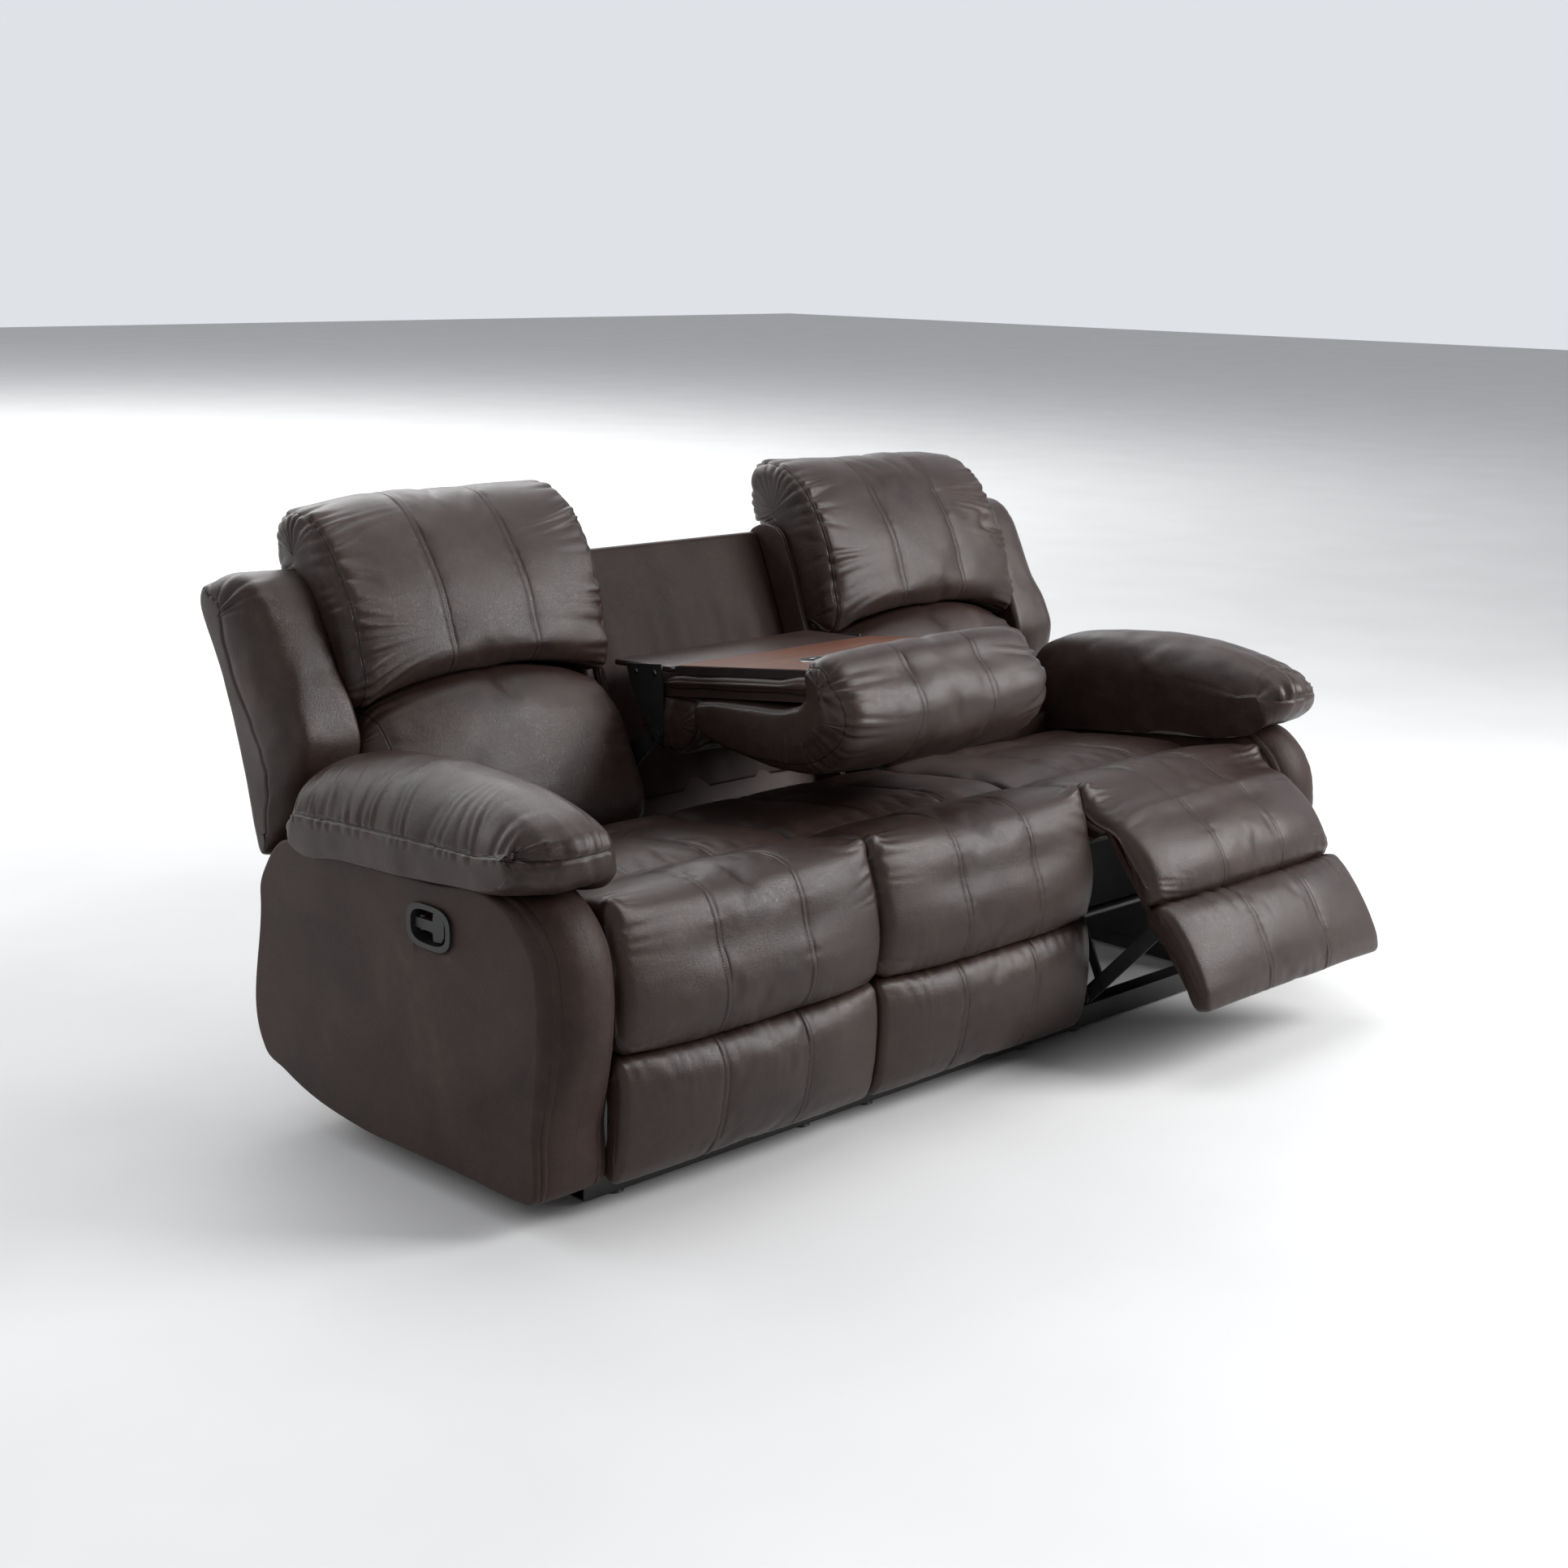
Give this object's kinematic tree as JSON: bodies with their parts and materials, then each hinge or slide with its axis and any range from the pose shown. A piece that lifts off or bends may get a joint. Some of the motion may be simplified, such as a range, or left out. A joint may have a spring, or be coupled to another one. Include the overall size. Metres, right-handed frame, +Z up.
{
  "type": "reclining sofa with drop down console",
  "caption": "Three-place reclining sofa: padded arms with release handles, footrests that swing out, reclining backs, and a middle back that folds down into a table with cup holders.",
  "frame": {"origin": "centre of the bounding box at floor level, rest state", "axes": "+X to the right seen from the front, +Y to the rear, +Z up"},
  "size_m": [2.104, 1.1856, 1.036],
  "materials": {
    "leather": "satin, fine grain",
    "black_steel": "satin black paint",
    "black_plastic": "matte",
    "foot_plastic": "matte",
    "cup_plastic": "satin",
    "table_wood": "semi-gloss lacquer",
    "frame_wood": "raw",
    "dust_fabric": "non-woven",
    "pin_steel": "plated"
  },
  "bodies": {
    "base": {"feet": "foot_plastic", "base_frame": "black_steel", "centre_seat_pad": "leather", "centre_seat_frame": "frame_wood", "centre_front_upper_pad": "leather", "centre_front_lower_pad": "leather", "centre_back_frame": "frame_wood", "centre_rear_panel": "leather", "rear_dust_panels": "dust_fabric", "console_fixed_brackets": "black_steel", "console_hinge_pins": "pin_steel", "arm_left_outer_panel": "leather", "arm_left_frame": "frame_wood", "arm_left_cover": "leather", "arm_left_pillow": "leather", "handle_left_bezel": "black_plastic", "arm_right_outer_panel": "leather", "arm_right_frame": "frame_wood", "arm_right_cover": "leather", "arm_right_pillow": "leather", "handle_right_bezel": "black_plastic"},
    "lever_left": {"handle_left_lever": "black_plastic"},
    "seat_left": {"seat_left_frame": "black_steel", "seat_left_pad": "leather", "seat_left_knee_roll": "leather"},
    "footrest_left": {"footrest_left_board": "frame_wood", "footrest_left_upper_pad": "leather", "footrest_left_lower_pad": "leather", "footrest_left_brackets": "black_steel"},
    "link_rear_left": {"link_rear_left": "black_steel"},
    "link_front_left": {"link_front_left": "black_steel"},
    "link_lower_left": {"link_lower_left": "black_steel"},
    "back_left": {"back_left_frame": "frame_wood", "back_left_headrest_pad": "leather", "back_left_lumbar_pad": "leather", "back_left_wing_pad": "leather", "back_left_rear_panel": "leather"},
    "lever_right": {"handle_right_lever": "black_plastic"},
    "seat_right": {"seat_right_frame": "black_steel", "seat_right_pad": "leather", "seat_right_knee_roll": "leather"},
    "footrest_right": {"footrest_right_board": "frame_wood", "footrest_right_upper_pad": "leather", "footrest_right_lower_pad": "leather", "footrest_right_brackets": "black_steel"},
    "link_rear_right": {"link_rear_right": "black_steel"},
    "link_front_right": {"link_front_right": "black_steel"},
    "link_lower_right": {"link_lower_right": "black_steel"},
    "back_right": {"back_right_frame": "frame_wood", "back_right_headrest_pad": "leather", "back_right_lumbar_pad": "leather", "back_right_wing_pad": "leather", "back_right_rear_panel": "leather"},
    "console": {"console_table_top": "table_wood", "console_frame": "frame_wood", "console_cup_holders": "cup_plastic", "console_headrest_pad": "leather", "console_lumbar_pad": "leather", "console_moving_brackets": "black_steel"},
    "console_leaf": {"console_leaf": "leather"}
  },
  "joints": [
    {"name": "console_fold", "type": "hinge", "parent": "base", "child": "console", "pos_m": [0, 0.26383, 0.583], "axis": [-1, 0, 0], "range_deg": [0, 105]},
    {"name": "leaf_fold", "type": "hinge", "parent": "console", "child": "console_leaf", "pos_m": [0, 0.23483, 0.713], "axis": [-1, 0, 0], "range_deg": [-0.5, 13.5]},
    {"name": "back_left_recline", "type": "hinge", "parent": "base", "child": "back_left", "pos_m": [0, 0.34083, 0.33], "axis": [-1, 0, 0], "range_deg": [0, 28]},
    {"name": "seat_left_slide", "type": "slide", "parent": "base", "child": "seat_left", "axis": [0, -1, 0], "range_m": [0, 0.06]},
    {"name": "footrest_left_swing", "type": "hinge", "parent": "seat_left", "child": "footrest_left", "pos_m": [0, -0.31417, 0.51], "axis": [-1, 0, 0], "range_deg": [0, 85]},
    {"name": "link_rear_left_turn", "type": "hinge", "parent": "seat_left", "child": "link_rear_left", "pos_m": [0, -0.16717, 0.353], "axis": [-1, 0, 0], "range_deg": [-0.5, 85.5]},
    {"name": "link_front_left_turn", "type": "hinge", "parent": "seat_left", "child": "link_front_left", "pos_m": [0, -0.19517, 0.383], "axis": [-1, 0, 0], "range_deg": [-0.5, 85.5]},
    {"name": "link_lower_left_turn", "type": "hinge", "parent": "footrest_left", "child": "link_lower_left", "pos_m": [0, -0.25075, 0.2258], "axis": [-1, 0, 0], "range_deg": [-85.5, 0.5]},
    {"name": "lever_left_pull", "type": "hinge", "parent": "base", "child": "lever_left", "pos_m": [-1.01, -0.01717, 0.439], "axis": [0, 0, -1], "range_deg": [0, 28], "stiffness_Nm_per_rad": 1.5},
    {"name": "back_right_recline", "type": "hinge", "parent": "base", "child": "back_right", "pos_m": [0, 0.34083, 0.33], "axis": [-1, 0, 0], "range_deg": [0, 28]},
    {"name": "seat_right_slide", "type": "slide", "parent": "base", "child": "seat_right", "axis": [0, -1, 0], "range_m": [0, 0.06]},
    {"name": "footrest_right_swing", "type": "hinge", "parent": "seat_right", "child": "footrest_right", "pos_m": [0, -0.31417, 0.51], "axis": [-1, 0, 0], "range_deg": [-38, 47]},
    {"name": "link_rear_right_turn", "type": "hinge", "parent": "seat_right", "child": "link_rear_right", "pos_m": [0, -0.16717, 0.353], "axis": [-1, 0, 0], "range_deg": [-38.5, 47.5]},
    {"name": "link_front_right_turn", "type": "hinge", "parent": "seat_right", "child": "link_front_right", "pos_m": [0, -0.19517, 0.383], "axis": [-1, 0, 0], "range_deg": [-38.5, 47.5]},
    {"name": "link_lower_right_turn", "type": "hinge", "parent": "footrest_right", "child": "link_lower_right", "pos_m": [0, -0.43917, 0.247], "axis": [-1, 0, 0], "range_deg": [-47.5, 38.5]},
    {"name": "lever_right_pull", "type": "hinge", "parent": "base", "child": "lever_right", "pos_m": [1.01, -0.01717, 0.439], "axis": [0, 0, 1], "range_deg": [0, 28], "stiffness_Nm_per_rad": 1.5}
  ],
  "couplings": [
    {"joint": "leaf_fold", "follows": "console_fold", "ratio": 0.12},
    {"joint": "seat_left_slide", "follows": "back_left_recline", "m_per_rad": 0.12},
    {"joint": "link_rear_left_turn", "follows": "footrest_left_swing", "ratio": 1},
    {"joint": "link_front_left_turn", "follows": "footrest_left_swing", "ratio": 1},
    {"joint": "link_lower_left_turn", "follows": "footrest_left_swing", "ratio": -1},
    {"joint": "seat_right_slide", "follows": "back_right_recline", "m_per_rad": 0.12},
    {"joint": "link_rear_right_turn", "follows": "footrest_right_swing", "ratio": 1},
    {"joint": "link_front_right_turn", "follows": "footrest_right_swing", "ratio": 1},
    {"joint": "link_lower_right_turn", "follows": "footrest_right_swing", "ratio": -1}
  ]
}
